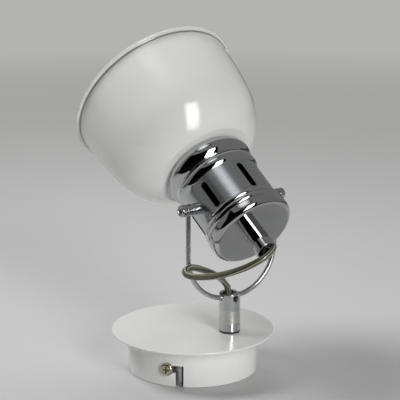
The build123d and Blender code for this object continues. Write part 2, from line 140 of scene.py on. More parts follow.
# %% [markdown]
# ## Writing node trees as Python
#
# Materials and Geometry Nodes are both trees of nodes. `Tree.node` adds any node: its settings
# are set first, then its inputs, and it gives back a `Wire`, which is one output socket. A
# `Wire` knows arithmetic, so `1 - mask * 0.5` adds the Math nodes that it needs. The four
# operators differ only in their node's setting, so a loop gives them to the class.

# %% Wires and trees


class Wire:
    """An output socket that can be used in sums."""

    def __init__(self, tree, socket):
        self.tree = tree
        self.socket = socket

    def math(self, operation):
        """The value through a Math node with one input, such as SINE."""
        return self.tree.node("ShaderNodeMath", {"operation": operation}, {0: self})

    def output(self, index):
        """Another output of the same node."""
        return Wire(self.tree, self.socket.node.outputs[index])


def joined_by(operation, turned_round):
    def join(self, other):
        first, second = (other, self) if turned_round else (self, other)
        return self.tree.node("ShaderNodeMath", {"operation": operation}, {0: first, 1: second})

    return join


for sign, operation in {"add": "ADD", "sub": "SUBTRACT", "mul": "MULTIPLY", "truediv": "DIVIDE"}.items():
    setattr(Wire, f"__{sign}__", joined_by(operation, False))
    setattr(Wire, f"__r{sign}__", joined_by(operation, True))


class Tree:
    """A node tree written as calls."""

    def __init__(self, nodes, links):
        self.nodes = nodes
        self.links = links

    def node(self, kind, settings=None, inputs=None, output=0):
        made = self.nodes.new(kind)
        for name, value in (settings or {}).items():
            if name == "stops":
                self.set_stops(made.color_ramp, value)
            else:
                setattr(made, name, value)
        for name, value in (inputs or {}).items():
            self.feed(made.inputs[name], value)
        return Wire(self, made.outputs[output])

    def vector(self, operation, first, second=(0, 0, 0), output="Value"):
        return self.node("ShaderNodeVectorMath", {"operation": operation}, {0: first, 1: second}, output)

    def feed(self, socket, value):
        if isinstance(value, Wire):
            self.links.new(value.socket, socket)
        else:
            socket.default_value = value

    def set_stops(self, ramp, stops):
        while len(ramp.elements) < len(stops):
            ramp.elements.new(0.5)
        for element, (position, color) in zip(ramp.elements, stops):
            element.position = position
            element.color = (*color, 1)


print("wires add, subtract, multiply and divide")

# %% [markdown]
# ## Finishes
#
# A `Finish` is a material with one Principled shader. What changes over the surface is wired
# to Base Color, Roughness or Normal, and all else is a plain number on the socket.
# Patterns read object coordinates, which here are the real metres of the frame, so a noise of
# scale 400 has grains of about 2.5 mm.

# %% The Finish class


class Finish(Tree):
    """A material with one Principled shader, and the patterns that feed it."""

    def __init__(self, name, **constants):
        self.material = bpy.data.materials.new(name)
        self.material.use_nodes = True
        tree = self.material.node_tree
        tree.nodes.clear()
        super().__init__(tree.nodes, tree.links)
        self.shader = tree.nodes.new("ShaderNodeBsdfPrincipled")
        out = tree.nodes.new("ShaderNodeOutputMaterial")
        tree.links.new(self.shader.outputs[0], out.inputs["Surface"])
        for socket, value in constants.items():
            self.shader.inputs[socket.replace("_", " ")].default_value = value
        self.place = self.node("ShaderNodeTexCoord", output="Object")

    def vary(self, **wires):
        for socket, wire in wires.items():
            self.feed(self.shader.inputs[socket.replace("_", " ")], wire)
        return self.material

    def noise(self, scale, detail=2.0, roughness=0.5):
        inputs = {"Vector": self.place, "Scale": scale, "Detail": detail, "Roughness": roughness}
        return self.node("ShaderNodeTexNoise", None, inputs, "Fac")

    def remap(self, value, low, high, to_low, to_high):
        inputs = {"Value": value, "From Min": low, "From Max": high, "To Min": to_low, "To Max": to_high}
        return self.node("ShaderNodeMapRange", None, inputs)

    def spread(self, noise, low, high):
        """A noise made to lie mostly between two values."""
        return self.remap(noise, 0.3, 0.7, low, high)

    def mottle(self, scale, detail, low, high):
        return self.spread(self.noise(scale, detail), low, high)

    def rings(self, station, pitch, scale, sway):
        """Wave along an axis, from -1 to 1, whose crests stray by up to half of sway."""
        return ((station + self.noise(scale, 2) * sway) * (tau / pitch)).math("SINE")

    def blend(self, factor, first, second):
        inputs = {"Factor": factor, 6: first, 7: second}
        return self.node("ShaderNodeMix", {"data_type": "RGBA"}, inputs, 2)

    def between(self, value, low, high, edge):
        """Mask that is 1 from low to high, with soft edges."""
        above = self.remap(value, low - edge, low + edge, 0, 1)
        return above * self.remap(value, high - edge, high + edge, 1, 0)

    def along(self, direction, origin):
        """Distance of a point from origin along a direction, in metres."""
        offset = self.vector("SUBTRACT", self.place, tuple(origin), 0)
        return self.vector("DOT_PRODUCT", offset, tuple(direction))

    def faces(self, direction):
        """How far the surface faces a direction, from -1 to 1."""
        normal = self.node("ShaderNodeTexCoord", output="Normal")
        return self.vector("DOT_PRODUCT", normal, tuple(direction))

    def coat(self, color, roughness, height, depth):
        """The material, with its colour, its roughness and bumps of a height times a depth in metres."""
        bumps = self.node("ShaderNodeBump", None, {"Height": height, "Distance": depth, "Strength": 1.0})
        return self.vary(Base_Color=color, Roughness=roughness, Normal=bumps)


def rgb(*seen):
    """Colour as the eye reads it, or a grey, turned into the linear values that a shader takes."""
    seen = seen if len(seen) > 1 else seen * 3
    return tuple(c / 12.92 if c <= 0.04045 else ((c + 0.055) / 1.055) ** 2.4 for c in seen) + (1.0,)


BLACK = (0.0, 0.0, 0.0, 1.0)


print("finishes read real metres")

# %% [markdown]
# ### White lacquer
#
# The shade and the canopy are sprayed steel. Lacquer is smooth at arm's length, yet a lamp's
# reflection in it wavers: the film has an orange peel of about a hundredth of a millimetre. A
# slow noise tints it, since no spray coat is even, a fine one gives the peel, and a few specks
# of dust are caught in the film. The groove under the shade's rolled rim lies in shadow, and a
# ring-shaped mask paints that shade into the colour there.

# %% Lacquer
# Painted shade in the groove: ring centre as radius and station, then the core and reach of its fade.
LIP_SHADE_RING = (53.75 * MM, 97.0 * MM)  # radius and station
PEEL_DEPTH = 1.2e-5
SHADE_CORE = 0.25 * MM
SHADE_REACH = 1.0 * MM


def crease_shade(finish, radius, station):
    """Mask of the painted shade in the ring where the shade's rolled rim turns back onto the wall."""
    across = finish.along(tilt_dir, pivot)
    beside = finish.along(beside_dir, pivot)
    outward = (across * across + beside * beside).math("SQRT") - radius
    beyond = finish.along(head_dir, pivot) - station
    away = (outward * outward + beyond * beyond).math("SQRT")
    return finish.remap(away, SHADE_CORE, SHADE_REACH, 1, 0)


def lacquer(name, light, shaded, gloss, groove_shaded=False):
    finish = Finish(name, IOR=1.5, Coat_Weight=0.35, Coat_Roughness=0.04)
    tint = finish.blend(finish.remap(finish.noise(28, 3), 0.35, 0.65, 0, 1), shaded, light)
    cells = {"Vector": finish.place, "Scale": 150.0, "Randomness": 1.0}
    nearest = finish.node("ShaderNodeTexVoronoi", None, cells, "Distance")
    chosen = finish.remap(finish.noise(95, 1), 0.66, 0.70, 0, 1)
    speck = finish.remap(nearest, 0.035, 0.055, 1, 0) * chosen
    color = finish.blend(speck * 0.7, tint, rgb(0.42, 0.41, 0.40))
    if groove_shaded:
        # Painted shade: the groove under the rolled rim is darkened towards a dark grey.
        color = finish.blend(crease_shade(finish, *LIP_SHADE_RING), color, rgb(0.22, 0.22, 0.21))
    peel = finish.noise(520, 2) + finish.noise(90, 1) * 2.0
    roughness = finish.mottle(60, 4, gloss, gloss + 0.07)
    return finish.coat(color, roughness, peel, PEEL_DEPTH)


warm_white = (rgb(0.93, 0.93, 0.915), rgb(0.915, 0.915, 0.90))
shade_lacquer = lacquer("shade_lacquer", *warm_white, 0.13, groove_shaded=True)
canopy_lacquer = lacquer("canopy_lacquer", rgb(0.935, 0.935, 0.93), rgb(0.92, 0.92, 0.915), 0.14)
print("lacquers:", shade_lacquer.name, canopy_lacquer.name)

# %% [markdown]
# ### Chrome
#
# Chrome plate mirrors the room, and its own colour is a slightly cool grey. What tells it from
# a perfect mirror is handling: faint cloudy smears that blur the reflection here and there, and
# the fine rings that polishing leaves round a turned part. The rings are a wave of the distance
# along the part's axis, so each turned part names its axis.

# %% Chrome
CHROME = rgb(0.745, 0.75, 0.755)


def chrome(name, axis, origin, ring_pitch=0.9 * MM, ring_depth=0.6e-6, smear=0.06, haze=0.035):
    finish = Finish(name, Metallic=1.0)
    rings = finish.rings(finish.along(axis, origin), ring_pitch, 900, 0.6 * MM)
    cloud = finish.noise(55, 4, 0.6)
    smeared = finish.remap(cloud, 0.45, 0.75, 0, smear)
    roughness = finish.mottle(700, 2, haze, haze + 0.03) + smeared
    color = finish.blend(finish.remap(cloud, 0.3, 0.8, 0, 1), CHROME, rgb(0.69))
    return finish.coat(color, roughness, rings, ring_depth)


cap_chrome = chrome("cap_chrome", head_dir, pivot, smear=0.09)
tube_chrome = chrome("tube_chrome", head_dir, pivot)
wire_chrome = chrome("wire_chrome", up_dir, post_foot, ring_pitch=2.5 * MM, ring_depth=0.3e-6, haze=0.24)
knob_chrome = chrome("knob_chrome", tilt_dir, pivot, ring_pitch=0.5 * MM)
print("chromes turned about three axes")

# %% [markdown]
# The lamp body has mirror beads, but the straight wall between them keeps the satin of the
# lathe: a softer gloss with fine rings. Its inside was never polished and is rough, and a mask on
# which way the wall faces paints it nearly black: painted shade for the dark inside of the body
# seen through the vents.

# %% Body chrome
SATIN_FROM = -11.6 * MM
SATIN_TO = 12.1 * MM
LATHE_PITCH = 1.25 * MM


def body_finish(name):
    finish = Finish(name, Metallic=1.0)
    station = finish.along(head_dir, pivot)
    across = finish.along(tilt_dir, pivot)
    beside = finish.along(beside_dir, pivot)
    facing = finish.faces(tilt_dir) * across + finish.faces(beside_dir) * beside
    unshaded_outside = finish.remap(facing, -1.5 * MM, -0.5 * MM, 0, 1)
    satin = finish.between(station, SATIN_FROM, SATIN_TO, 0.4 * MM)
    rings = finish.rings(station, LATHE_PITCH, 700, 1.2 * MM)
    grain = finish.noise(900, 3)
    cloud = finish.noise(55, 4, 0.6)
    polished = finish.spread(grain, 0.03, 0.06) + finish.remap(cloud, 0.45, 0.75, 0, 0.05)
    brushed = finish.spread(grain, 0.22, 0.28) + rings * 0.03
    roughness = (polished * (1 - satin) + brushed * satin) * unshaded_outside + 0.7 * (1 - unshaded_outside)
    plate = finish.blend(satin, CHROME, rgb(0.71, 0.72, 0.73))
    # Painted shade: the inside of the wall takes a nearly black colour, because the body's inside is dark.
    color = finish.blend(unshaded_outside, rgb(0.09), plate)
    return finish.coat(color, roughness, rings * satin + grain * 0.2, 1.8e-6)


body_chrome = body_finish("body_chrome")
print("satin from station", SATIN_FROM / MM, "to", SATIN_TO / MM, "mm")

# %% [markdown]
# The post is chromed too, but it has a paler, matt band round its middle. A mask on the height
# makes the band rougher and lighter, with soft edges.

# %% Post chrome
BAND_LOW = 31.3 * MM
BAND_HIGH = 39.6 * MM
BAND_EDGE = 0.25 * MM


def banded_chrome(name):
    finish = Finish(name, Metallic=1.0)
    height = finish.along(up_dir, post_foot)
    band = finish.between(height, BAND_LOW, BAND_HIGH, BAND_EDGE)
    grain = finish.noise(1500, 3)
    polished = finish.mottle(700, 2, 0.05, 0.09)
    roughness = polished * (1 - band) + finish.spread(grain, 0.30, 0.40) * band
    color = finish.blend(band, CHROME, rgb(0.80, 0.80, 0.79))
    return finish.coat(color, roughness, grain * band, 4e-6)


post_chrome = banded_chrome("post_chrome")
print("matt band from", BAND_LOW / MM, "to", BAND_HIGH / MM, "mm")

# %% [markdown]
# ### Plain metals, plastics and ceramic
#
# The rest needs less: zinc on the bracket and nuts, brass on what carries current, warm nickel
# on the side screws, moulded black plastics and a glazed insulator. One function mixes two near
# colours with a noise, and lets roughness and a fine bump follow it.

# %% Plain finishes


def plain(name, dark, light, rough, scale, metal=0.0, depth=5e-6):
    finish = Finish(name, Metallic=metal)
    coarse = finish.noise(scale, 4, 0.6)
    color = finish.blend(finish.remap(coarse, 0.35, 0.65, 0, 1), dark, light)
    roughness = finish.mottle(scale * 3, 3, rough - 0.07, rough + 0.07)
    return finish.coat(color, roughness, finish.noise(scale * 6, 2), depth)


zinc = plain("zinc_steel", rgb(0.66, 0.67, 0.69), rgb(0.78, 0.79, 0.80), 0.32, 240, 1.0)
nickel = plain("nickel_screw", rgb(0.66, 0.63, 0.54), rgb(0.78, 0.76, 0.68), 0.20, 500, 1.0, 3e-6)
brass = plain("brass", rgb(0.74, 0.60, 0.34), rgb(0.83, 0.71, 0.45), 0.24, 300, 1.0)
black_nylon = plain("black_nylon", rgb(0.10), rgb(0.16), 0.50, 600, depth=2e-5)
phenolic = plain("holder_plastic", rgb(0.09, 0.085, 0.08), rgb(0.13, 0.125, 0.12), 0.33, 350, depth=1e-5)
steatite = plain("steatite", rgb(0.88, 0.87, 0.83), rgb(0.93, 0.92, 0.89), 0.22, 200)
core_skin = plain("core_insulation", rgb(0.50, 0.44, 0.30), rgb(0.60, 0.54, 0.40), 0.35, 400)
thread_dark = plain("thread_steel", rgb(0.30), rgb(0.42), 0.35, 700, 1.0)
inner_sheath = plain("inner_sheath", rgb(0.30, 0.29, 0.19), rgb(0.42, 0.40, 0.28), 0.3, 200)
print("plain finishes made")

# %% [markdown]
# ## Turned parts
#
# Most of the light was turned or spun on a lathe: shade, body, cap, tube, post, knobs. One
# Geometry Nodes tree is that lathe. It takes an outline as loose points, radius in X and station
# in Z, and makes a grid whose rows are copies of the outline, each turned a step further. The
# grid's point number says which outline point and which step it is. A thread is a small wave
# added to the radius that climbs one pitch each turn. Merging by distance closes seam and poles.

# %% A Geometry Nodes recipe class


class Recipe(Tree):
    """A Geometry Nodes tree with named inputs."""

    def __init__(self, name, **kinds):
        self.group = bpy.data.node_groups.new(name, "GeometryNodeTree")
        face = self.group.interface
        face.new_socket("Geometry", in_out="INPUT", socket_type="NodeSocketGeometry")
        for label, kind in (kinds | {"Finish": "Material"}).items():
            face.new_socket(label.replace("_", " "), in_out="INPUT", socket_type="NodeSocket" + kind)
        face.new_socket("Geometry", in_out="OUTPUT", socket_type="NodeSocketGeometry")
        super().__init__(self.group.nodes, self.group.links)
        self.source = self.nodes.new("NodeGroupInput")
        self.sink = self.nodes.new("NodeGroupOutput")

    def given(self, label):
        return Wire(self, self.source.outputs[label])

    def keep(self, shape, name, value, kind):
        """The shape with a value stored on each of its points."""
        stored = {0: shape, "Name": name, "Value": value}
        return self.node("GeometryNodeStoreNamedAttribute", {"data_type": kind}, stored)

    def deliver(self, wire):
        """End the tree: copies become real mesh, and the mesh takes the finish."""
        real = self.node("GeometryNodeRealizeInstances", None, {0: wire})
        dressed = self.node("GeometryNodeSetMaterial", None, {0: real, "Material": self.given("Finish")})
        self.feed(self.sink.inputs[0], dressed)

    def run(self, host, name, **values):
        """The plain mesh that the tree makes of a host object, which is used up."""
        modifier = host.modifiers.new(name, "NODES")
        modifier.node_group = self.group
        identifiers = {i.name: i.identifier for i in self.group.interface.items_tree if i.in_out == "INPUT"}
        for label, value in values.items():
            modifier[identifiers[label.replace("_", " ")]] = value
        return settle(host, name)


def settle(host, name):
    """Apply what the modifiers make to a new mesh object, and drop the host."""
    host.update_tag()
    bpy.context.view_layer.update()
    depsgraph = bpy.context.evaluated_depsgraph_get()
    mesh = bpy.data.meshes.new_from_object(host.evaluated_get(depsgraph), depsgraph=depsgraph)
    mesh.name = name
    bpy.data.objects.remove(host)
    return mesh


def host_of(points, edges=(), faces=()):
    """A helper object that a tree or a modifier starts from."""
    mesh = bpy.data.meshes.new("host")
    mesh.from_pydata([tuple(p) for p in points], list(edges), list(faces))
    return linked("host", mesh)


print("a recipe turns a host into a plain mesh")

# %% The lathe


def lathe_recipe():
    tree = Recipe("lathe", Points="Int", Steps="Int", Pitch="Float", Depth="Float", Seam="Float")
    points = tree.given("Points")
    steps = tree.given("Steps")
    grid_size = {"Vertices X": steps + 1, "Vertices Y": points}
    grid = tree.node("GeometryNodeMeshGrid", None, grid_size, "Mesh")
    index = tree.node("GeometryNodeInputIndex")
    row = ((index + 0.5) / points).math("FLOOR")
    column = index - row * points
    position = tree.node("GeometryNodeInputPosition")
    sample = {0: tree.given("Geometry"), 1: position, 2: column}
    outline = tree.node("GeometryNodeSampleIndex", {"data_type": "FLOAT_VECTOR"}, sample)
    radius = tree.node("ShaderNodeSeparateXYZ", None, {0: outline}, 0)
    station = radius.output(2)
    angle = row * tau / steps
    climb = angle - station * tau / tree.given("Pitch")
    reach = radius + climb.math("COSINE") * tree.given("Depth")
    turned_out = {0: reach * angle.math("COSINE"), 1: reach * angle.math("SINE"), 2: station}
    place = tree.node("ShaderNodeCombineXYZ", None, turned_out)
    solid = tree.node("GeometryNodeSetPosition", None, {0: grid, 2: place})
    tree.deliver(tree.node("GeometryNodeMergeByDistance", None, {0: solid, "Distance": tree.given("Seam")}))
    return tree


lathe = lathe_recipe()
print("lathe tree with", len(lathe.nodes), "nodes")

# %% [markdown]
# Outlines are written as corners with a rounding radius, because that is how a drawing gives
# them, `bulge` gives the arc of a rolled bead and `arc` a part of a circle. All are formulas, so
# an outline holds only the points that its shape needs. `piece_of` then turns a mesh into a
# piece: doubles merged, faces outwards, smooth where the surface bends gently, and its place in
# its mesh. `carve` takes cutters away with Booleans, and `publish` says what the piece rides on
# and which nodes of the model it stands for.

# %% Outlines
ROUND_STEPS = 8


def turns(first, last, steps):
    """Even steps from one angle to another, both in degrees."""
    return [radians(first + (last - first) * step / steps) for step in range(steps + 1)]


def arc(centre, radius, first, last, steps):
    """Points on a circle, from one angle to another."""
    return [(centre[0] + radius * cos(t), centre[1] + radius * sin(t)) for t in turns(first, last, steps)]


def corner_arc(before, corner, after, radius, steps):
    """Points of the arc that rounds one corner of an outline."""
    here = Vector(corner)
    arriving = (Vector(before) - here).normalized()
    leaving = (Vector(after) - here).normalized()
    half = arriving.angle(leaving) / 2
    centre = here + (arriving + leaving).normalized() * (radius / sin(half))
    first = here + arriving * (radius * cos(half) / sin(half)) - centre
    last = here + leaving * (radius * cos(half) / sin(half)) - centre
    sweep = first.angle(last)
    shares = [step / steps for step in range(steps + 1)]
    mixed = [first * sin((1 - share) * sweep) + last * sin(share * sweep) for share in shares]
    return [tuple(centre + point / sin(sweep)) for point in mixed]


def rounded(corners, closed=True, steps=ROUND_STEPS):
    """Outline from (radius, station, rounding) corners."""
    points = []
    count = len(corners)
    for index, (r, s, *rounding) in enumerate(corners):
        inner = closed or 0 < index < count - 1
        if rounding and inner:
            before = corners[index - 1][:2]
            after = corners[(index + 1) % count][:2]
            points += corner_arc(before, (r, s), after, rounding[0], steps)
        else:
            points.append((r, s))
    return points + points[:1] if closed else points


def bulge(start, end, height, steps):
    """Arc from start to end that rises by height to the right of the way it runs."""
    a = Vector(start)
    b = Vector(end)
    chord = b - a
    side = Vector((chord.y, -chord.x)).normalized()
    radius = (chord.length**2 / 4 + height**2) / (2 * height)
    centre = (a + b) / 2 + side * (height - radius)
    half = (a - centre).angle(b - centre) / 2
    if abs(height) > abs(radius):
        half = pi - half
    up = side * radius
    over = chord.normalized() * abs(radius)
    angles = [half * (2 * step / steps - 1) for step in range(steps + 1)]
    return [tuple(centre + up * cos(angle) + over * sin(angle)) for angle in angles]


print("outlines are rounded corners, arcs and bulges")

# %% Pieces
SHARP_TURN = radians(32)
SEAM = 2e-7
SAME_PLACE = 1e-7


def piece_of(mesh, name, place, material):
    """A finished object of a mesh: doubles merged, faces outwards, place in the mesh."""
    built = bmesh.new()
    built.from_mesh(mesh)
    bmesh.ops.transform(built, matrix=place, verts=built.verts)
    bmesh.ops.remove_doubles(built, verts=built.verts, dist=SAME_PLACE)
    bmesh.ops.dissolve_degenerate(built, edges=built.edges, dist=SAME_PLACE)
    bmesh.ops.recalc_face_normals(built, faces=built.faces)
    built.to_mesh(mesh)
    built.free()
    mesh.materials.clear()
    mesh.materials.append(material)
    mesh.shade_smooth()
    mesh.set_sharp_from_angle(angle=SHARP_TURN)
    mesh.name = name
    return linked(name, mesh)


def turn_mesh(outline, finish, steps=128, pitch=1.0, depth=0.0):
    """Mesh that the lathe makes of an outline in millimetres."""
    points = [(r * MM, 0, s * MM) for r, s in outline]
    values = {"Points": len(points), "Steps": steps, "Pitch": pitch * MM, "Depth": depth * MM, "Seam": SEAM}
    return lathe.run(host_of(points), "turned", Finish=finish, **values)


def carve(mesh, *cutters):
    """A mesh with solids cut out of it. The cutters are meshes or hosts, and are used up."""
    for cutter in cutters:
        tool = cutter if isinstance(cutter, bpy.types.Object) else linked("tool", cutter)
        host = linked("host", mesh)
        cut = host.modifiers.new("cut", "BOOLEAN")
        cut.operation = "DIFFERENCE"
        cut.solver = "EXACT"
        cut.object = tool
        mesh = settle(host, "carved")
        bpy.data.objects.remove(tool)
    return mesh


def turned(name, outline, place, finish, steps=128, cutters=(), **thread):
    """A finished turned piece, with what the cutters take away."""
    mesh = carve(turn_mesh(outline, finish, steps, **thread), *cutters)
    return piece_of(mesh, name, place, finish)


def publish(piece, body, slot, *nodes):
    """Say what a finished piece rides on and what it stands for; the slot, meant for its finish, is not used."""
    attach(piece, body)
    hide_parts(*nodes)
    print(piece.name, len(piece.data.polygons), "faces")


print("pieces keep sharp edges beyond", round(SHARP_TURN, 2), "radians")

# %% [markdown]
# ### The bell shade
#
# A spun steel bell: a flat neck, a round shoulder, a nearly straight skirt that flares at the
# end, and a rolled lip that keeps the thin edge stiff. One line describes it, made of arcs that
# meet without a corner, and the wall is that line moved inwards by the thickness of the steel.

# %% Shade outline
NECK = (24.7, 32.4)
SHOULDER = [(31.2, 32.4), (42.9, 44.0), (50.0, 62.0)]
SKIRT_END = (53.2, 96.4)
SHADE_WALL = 1.0
LIP_CENTRE = (54.6, 98.8)
LIP_RADIUS = 0.87
LIP_TURN = (-118, 160)


def arc_through(start, middle, end, steps):
    """Points of the circle through three points, from the first to the last."""
    a, b, c = Vector(start), Vector(middle), Vector(end)
    chord = c - a
    side = Vector((chord.y, -chord.x)).normalized()
    share, rise = (b - a).dot(chord.normalized()), (b - a).dot(side)
    lift = (rise**2 + share**2 - share * chord.length) / (2 * rise)
    height = lift + hypot(lift, chord.length / 2)
    return bulge(start, end, height, steps)


def tangent_arc(start, direction, end, steps):
    """Points of the arc that leaves start along a direction and ends at end."""
    a, b = Vector(start), Vector(end)
    heading = Vector(direction).normalized()
    turn = heading.angle_signed(b - a)
    height = (b - a).length / 2 * sin(turn / 2) / cos(turn / 2)
    return bulge(start, end, -height, steps) if abs(height) > 1e-6 else [start, end]


def walled(line, wall):
    """Closed outline of a sheet whose outer side is a line and whose wall lies to its left."""
    points = [Vector(p) for p in line]
    inner = []
    for index, point in enumerate(points):
        before = points[max(index - 1, 0)]
        after = points[min(index + 1, len(points) - 1)]
        arriving = (point - before).normalized() if index else (after - point).normalized()
        leaving = (after - point).normalized() if index < len(points) - 1 else arriving
        way = (arriving + leaving).normalized()
        stretch = wall / max(way.dot(leaving), 0.5)
        inner.append(tuple(point + Vector((-way.y, way.x)) * stretch))
    return [tuple(p) for p in points] + inner[::-1] + [tuple(points[0])]


def without_repeats(points):
    kept = points[:1]
    for point in points[1:]:
        if hypot(point[0] - kept[-1][0], point[1] - kept[-1][1]) > 1e-4:
            kept.append(point)
    return kept


dome = arc_through(*SHOULDER, steps=36)
dome_way = Vector(dome[-1]) - Vector(dome[-2])
skirt = tangent_arc(SHOULDER[-1], dome_way, SKIRT_END, steps=20)
skirt_way = Vector(skirt[-1]) - Vector(skirt[-2])
lip = arc(LIP_CENTRE, LIP_RADIUS, *LIP_TURN, 22)
flare = tangent_arc(SKIRT_END, skirt_way, lip[0], steps=6)
sheet_line = without_repeats([NECK] + dome + skirt + flare)
sheet_outline = walled(sheet_line, SHADE_WALL)
print("shade outline", len(sheet_outline), "points, mouth at", round(sheet_line[-1][1], 1), "mm")

# %% Shade
inner_line = sheet_outline[len(sheet_line) : -1]
bell_outline = sheet_line[:-1] + lip + inner_line[1:] + sheet_line[:1]
bell = turned("shade", bell_outline, head_place, shade_lacquer, 224)
publish(bell, "head", "shade_lacquer", "bell_shade")

# %% [markdown]
# ### The lamp body
#
# A thin tube with rolled beads that stiffen it: two fat ones in front, where the shade is held,
# and a narrow rib and the cap behind. Six slots let the heat out. The slots repeat, so one
# cutter is made and a small tree sets copies of it round the axis, and a Boolean takes them out
# of the wall. A Boolean leaves long thin faces, so the wall then gets the normals of its circle.

# %% A tree that sets copies round an axis


def around_recipe():
    tree = Recipe("around", Count="Int", First="Float")
    count = tree.given("Count")
    line = tree.node("GeometryNodeMeshLine", None, {"Count": count, "Offset": (0.0, 0.0, 0.0)})
    index = tree.node("GeometryNodeInputIndex")
    turn = tree.given("First") + index * tau / count
    spin = tree.node("ShaderNodeCombineXYZ", None, {2: turn})
    inputs = {"Points": line, "Instance": tree.given("Geometry"), "Rotation": spin}
    tree.deliver(tree.node("GeometryNodeInstanceOnPoints", None, inputs))
    return tree


around = around_recipe()
print("copies round an axis:", len(around.nodes), "nodes")

# %% Straight cutters and round walls


def prism(outline, low, high, place=canopy_place, taper=1.0):
    """Host of a straight-sided solid: an outline in millimetres, from low to high along Z."""
    count = len(outline)
    levels = ((low, taper), (high, 1.0))
    points = [place @ (Vector((x * t, y * t, z)) * MM) for z, t in levels for x, y in outline]
    sides = [(i, (i + 1) % count, count + (i + 1) % count, count + i) for i in range(count)]
    caps = [tuple(range(count - 1, -1, -1)), tuple(range(count, 2 * count))]
    return host_of(points, (), sides + caps)


NEAR_WALL = 0.08
FACES_OUT = 0.9


def true_round(mesh, place, radii, stations):
    """Give a cut cylinder the normals of the round wall, so its reflections stay straight."""
    to_local = place.inverted()
    turn = place.to_3x3()
    normals = [Vector(corner.vector) for corner in mesh.corner_normals]
    for face in mesh.polygons:
        middle = to_local @ face.center
        reach = hypot(middle.x, middle.y) / MM
        on_wall = min(abs(reach - radius) for radius in radii) < NEAR_WALL
        outward = face.normal.dot(turn @ Vector((middle.x, middle.y, 0)).normalized())
        if not on_wall or abs(outward) < FACES_OUT or not stations[0] < middle.z / MM < stations[1]:
            continue
        sign = 1 if outward > 0 else -1
        for corner in face.loop_indices:
            point = to_local @ mesh.vertices[mesh.loops[corner].vertex_index].co
            normals[corner] = turn @ Vector((point.x, point.y, 0)).normalized() * sign
    mesh.normals_split_custom_set(normals)


def stadium(length, width):
    """Outline of a slot with round ends, along X."""
    end = arc(((length - width) / 2, 0), width / 2, -90, 90, 12)
    return end + [(-x, -y) for x, y in end]


print("walls are made round again within", NEAR_WALL, "mm")

# %% Body outline
BODY_WALL = 0.8
VENT = (20.0, 4.0)
VENT_STATION = -1.2
VENTS = 6
FIRST_VENT = radians(30)
SPIGOT = (24.6, 37.5)

body_line = without_repeats(
    bulge((25.2, -19.2), (25.2, -15.2), 1.3, 12)
    + bulge((25.0, -15.0), (25.0, -11.9), 0.9, 12)
    + bulge((25.0, 12.0), (25.0, 19.9), 1.7, 22)
    + bulge((25.0, 20.1), (25.0, 20.9), 0.35, 6)
    + bulge((25.2, 21.1), (25.2, 32.4), 2.6, 30)
    + [(SPIGOT[0], 32.4), SPIGOT]
)
body_outline = walled(body_line, BODY_WALL)
print("body outline", len(body_outline), "points")

# %% Body with its vents
vent_place = stand(Vector(), x_dir, up_dir)
vent_outline = [(x + VENT_STATION, y) for x, y in stadium(*VENT)]
one_vent = prism(vent_outline, 21, 29, vent_place)
all_vents = around.run(one_vent, "vents", Count=VENTS, First=FIRST_VENT, Finish=body_chrome)
body = turned("lamp_body", body_outline, head_place, body_chrome, 192, [all_vents])
true_round(body.data, head_place, (24.2, 25.0), (-11.8, 11.9))
publish(body, "head", "chrome", "holder_body")

# %% [markdown]
# ### Rear cap and cable tube
#
# The cap is pressed over the rear of the body, with a wide soft corner round a flat that
# mirrors the floor. The cable tube screws through it and its edge is only just broken.

# %% Cap and tube
cap_outside = [(5.0, -26.3), (26.6, -26.3, 3.5), (26.6, -19.2, 0.9), (24.2, -19.2), (24.2, -16.2)]
cap_inside = [(23.2, -16.2), (23.2, -25.3, 1.5), (5.0, -25.3)]
cap_outline = rounded(cap_outside + cap_inside, steps=14)
publish(turned("cap", cap_outline, head_place, cap_chrome, 192), "head", "chrome", "rear_cap")

tube_outside = [(5.0, -26.3), (6.5, -26.3), (6.5, -41.5, 0.35), (5.7, -41.5, 0.25)]
tube_inside = [(5.7, -27.8), (3.5, -27.8), (3.5, -14.5), (5.0, -14.5)]
tube_outline = rounded(tube_outside + tube_inside)
publish(turned("cable_tube", tube_outline, head_place, tube_chrome, 96), "head", "chrome", "rear_tube")

# %% [markdown]
# ### Bent wire yoke
#
# A tube that follows a path is the second tree: the path's edges become a curve, and a circle is
# swept along it. The yoke's path is two straight legs and two quarter bends. The sweep also
# stores on each point where it lies round the tube and how far along, which the cord uses later.

# %% A tree that sweeps a tube


def tube_recipe():
    tree = Recipe("tube", Radius="Float", Sides="Int")
    path = tree.node("GeometryNodeMeshToCurve", None, {0: tree.given("Geometry")})
    ring_size = {"Resolution": tree.given("Sides"), "Radius": tree.given("Radius")}
    ring = tree.node("GeometryNodeCurvePrimitiveCircle", None, ring_size)
    position = tree.node("GeometryNodeInputPosition")
    direction = tree.vector("NORMALIZE", position, output="Vector")
    length = tree.node("GeometryNodeSplineParameter", output="Length")
    marked = tree.keep(ring, "around", direction, "FLOAT_VECTOR")
    measured = tree.keep(path, "travel", length, "FLOAT")
    sweep = {"Curve": measured, "Profile Curve": marked, "Fill Caps": True}
    tree.deliver(tree.node("GeometryNodeCurveToMesh", None, sweep))
    return tree


tube_tree = tube_recipe()


def tube_along(points, radius, sides, finish):
    """Mesh of a round bar along points in metres."""
    edges = [(i, i + 1) for i in range(len(points) - 1)]
    return tube_tree.run(host_of(points, edges), "swept", Finish=finish, Radius=radius, Sides=sides)


print("tube tree with", len(tube_tree.nodes), "nodes")

# %% Yoke
WIRE_RADIUS = 1.5
YOKE_SHIFT = 1.5
YOKE_HALF = 32.5
YOKE_FLOOR = 47.2
YOKE_BEND = 29.3
WIRE_END = 104.3
yoke_middle = post_foot + tilt_dir * (YOKE_SHIFT * MM)


def on_yoke(across, height):
    return yoke_middle + tilt_dir * (across * MM) + up_dir * (height * MM)


